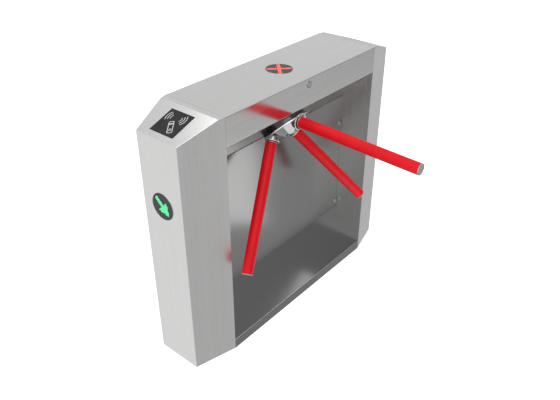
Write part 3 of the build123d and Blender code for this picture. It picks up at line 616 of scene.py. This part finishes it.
hub_points = np.array([v.co for v in nodes["hub"].data.vertices]) - np.array(hub_centre)
heights = hub_points @ np.array(hub_axis)
spans = np.linalg.norm(hub_points - np.outer(heights, np.array(hub_axis)), axis=1)
FLANGE_BACK, FLANGE_THICK = 16 * MM, 6 * MM
on_flange = np.abs(heights - FLANGE_BACK) < 0.2 * MM
flange_radius = spans[on_flange].max()
# The rim bead is real shape in the brightened edge steel, whose bright line round the flange is a
# painted highlight.
rim = bmesh.new()
section = ring_profile(flange_radius - 0.6 * MM, 1.6 * MM, FLANGE_THICK / 2 - 0.3 * MM)
revolve(rim, section, 128, closed=True)
rim_centre = hub_centre + hub_axis * (FLANGE_BACK + FLANGE_THICK / 2)
piece("hub_rim", rim, edge_steel_painted_highlight, "rotor",
      frame_at(rim_centre, hub_axis.orthogonal(), hub_axis))


def hem(name, x, z, y0, y1, radius, body):
    """Rolled hem along a sheet edge, with rounded ends, in the brightened edge steel: a real hem
    shape whose bright line is a painted highlight.
    """
    bar = bmesh.new()
    length = y1 - y0
    tip = [(0, 0), (0.7 * radius, 0.2 * radius), (radius, radius)]
    revolve(bar, tip + [(r, length - h) for r, h in reversed(tip)], 12)
    piece(name, bar, edge_steel_painted_highlight, body, frame_at((x, y0, z), (1, 0, 0), (0, 1, 0)))


lid_low, lid_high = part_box("top_lid")
sill_low, sill_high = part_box("sill_panel")
HEM = 0.9 * MM
hem("fascia_hem", lid_high.x - HEM * 0.75, lid_low.z + HEM * 0.4,
    lid_low.y, lid_high.y, HEM, "lid")
hem("sill_hem", sill_high.x - HEM * 0.75, sill_low.z + LIP_HEIGHT - HEM * 0.4,
    sill_low.y, sill_high.y, HEM, "cabinet")


# ---------------------------------------------------------------- stage, lights, camera
FLOOR_DROP = 0.6 * MM
FLOOR_RADIUS = 14


def stage_floor():
    """White floor that neither lights the object nor shows in it."""
    mesh = bmesh.new()
    revolve(mesh, [(0, 0), (3, 0), (6, 0), (FLOOR_RADIUS, 0)], 96)
    data = bpy.data.meshes.new("floor")
    mesh.to_mesh(data)
    mesh.free()
    floor = bpy.data.objects.new("floor", data)
    bpy.context.scene.collection.objects.link(floor)
    floor.location.z = -FLOOR_DROP
    t = Tree("floor_white")
    t.set(Base_Color=(0.9, 0.9, 0.9, 1), Roughness=0.9)
    t.set(Emission_Color=(1, 1, 1, 1), Emission_Strength=0.75)
    data.materials.append(t.material)
    floor.visible_glossy = False
    floor.visible_diffuse = False


stage_floor()

world = bpy.data.worlds.new("studio")
bpy.context.scene.world = world
world.use_nodes = True
sky = world.node_tree
sky.nodes.clear()
back = sky.nodes.new("ShaderNodeBackground")
world_out = sky.nodes.new("ShaderNodeOutputWorld")
back.inputs["Color"].default_value = (1, 1, 1, 1)
sky.links.new(back.outputs["Background"], world_out.inputs["Surface"])
direction = sky.nodes.new("ShaderNodeTexCoord").outputs["Generated"]


def sky_patch(towards, start, end, change):
    """Makes the studio brighter or darker towards one side, fading in with the angle."""
    dot = sky.nodes.new("ShaderNodeVectorMath")
    dot.operation = "DOT_PRODUCT"
    dot.inputs[1].default_value = Vector(towards).normalized()
    sky.links.new(direction, dot.inputs[0])
    fade = sky.nodes.new("ShaderNodeMapRange")
    fade.interpolation_type = "SMOOTHSTEP"
    fade.inputs["From Min"].default_value = math.cos(math.radians(start))
    fade.inputs["From Max"].default_value = math.cos(math.radians(end))
    fade.inputs["To Min"].default_value = 0.0
    fade.inputs["To Max"].default_value = change
    sky.links.new(dot.outputs["Value"], fade.inputs["Value"])
    return fade.outputs["Result"]


SKY_PATCHES = (
    ((0.64, 0.5, -0.54), 80, 25, -0.42),
    ((-0.54, 0.65, 0.54), 70, 20, -0.22),
    ((0.54, 0.65, 0.54), 60, 20, -0.45),
)
level = None
for patch in SKY_PATCHES:
    total = sky.nodes.new("ShaderNodeMath")
    total.operation = "ADD"
    sky.links.new(sky_patch(*patch), total.inputs[0])
    if level is None:
        total.inputs[1].default_value = 1.0
    else:
        sky.links.new(level, total.inputs[1])
    level = total.outputs[0]
sky.links.new(level, back.inputs["Strength"])


def area(name, where, aim, size, power):
    """Square soft light that the camera doesn't see."""
    data = bpy.data.lights.new(name, "AREA")
    data.shape = "SQUARE"
    data.size = size
    data.energy = power
    light = bpy.data.objects.new(name, data)
    bpy.context.scene.collection.objects.link(light)
    light.location = where
    light.rotation_euler = (Vector(aim) - Vector(where)).to_track_quat("-Z", "Y").to_euler()
    light.visible_camera = False
    return light


area("key", (1.2, -1.0, 3.2), (0.1, 0, 0.6), 2.2, 20)
area("slant_card", (-0.58, -0.16, 2.25), (0.05, -0.5, 0.97), 0.45, 2.0)
area("panel_card", (0.56, 0.20, 0.20), (0, -0.33, 0.68), 0.42, 0.6)

CAMERA_PLACE = (1.42436, -1.71033, 1.85173)
CAMERA_TURNS = (39.633, 32.602, 0.319)
cam_data = bpy.data.cameras.new("camera")
camera = bpy.data.objects.new("camera", cam_data)
bpy.context.scene.collection.objects.link(camera)
bpy.context.scene.camera = camera
cam_data.sensor_width = 36
cam_data.lens = 40.83
azimuth, elevation, roll = (math.radians(turn) for turn in CAMERA_TURNS)
flat = math.cos(elevation)
ahead = Vector((-math.sin(azimuth) * flat, math.cos(azimuth) * flat, -math.sin(elevation)))
right = ahead.cross(Vector((0, 0, 1))).normalized()
up = right.cross(ahead)
rolled_right = right * math.cos(roll) + up * math.sin(roll)
rolled_up = up * math.cos(roll) - right * math.sin(roll)
camera_axes = Matrix((rolled_right, rolled_up, -ahead)).transposed().to_4x4()
camera.matrix_world = Matrix.Translation(CAMERA_PLACE) @ camera_axes

scene = bpy.context.scene
scene.view_settings.view_transform = "Standard"
scene.view_settings.look = "None"
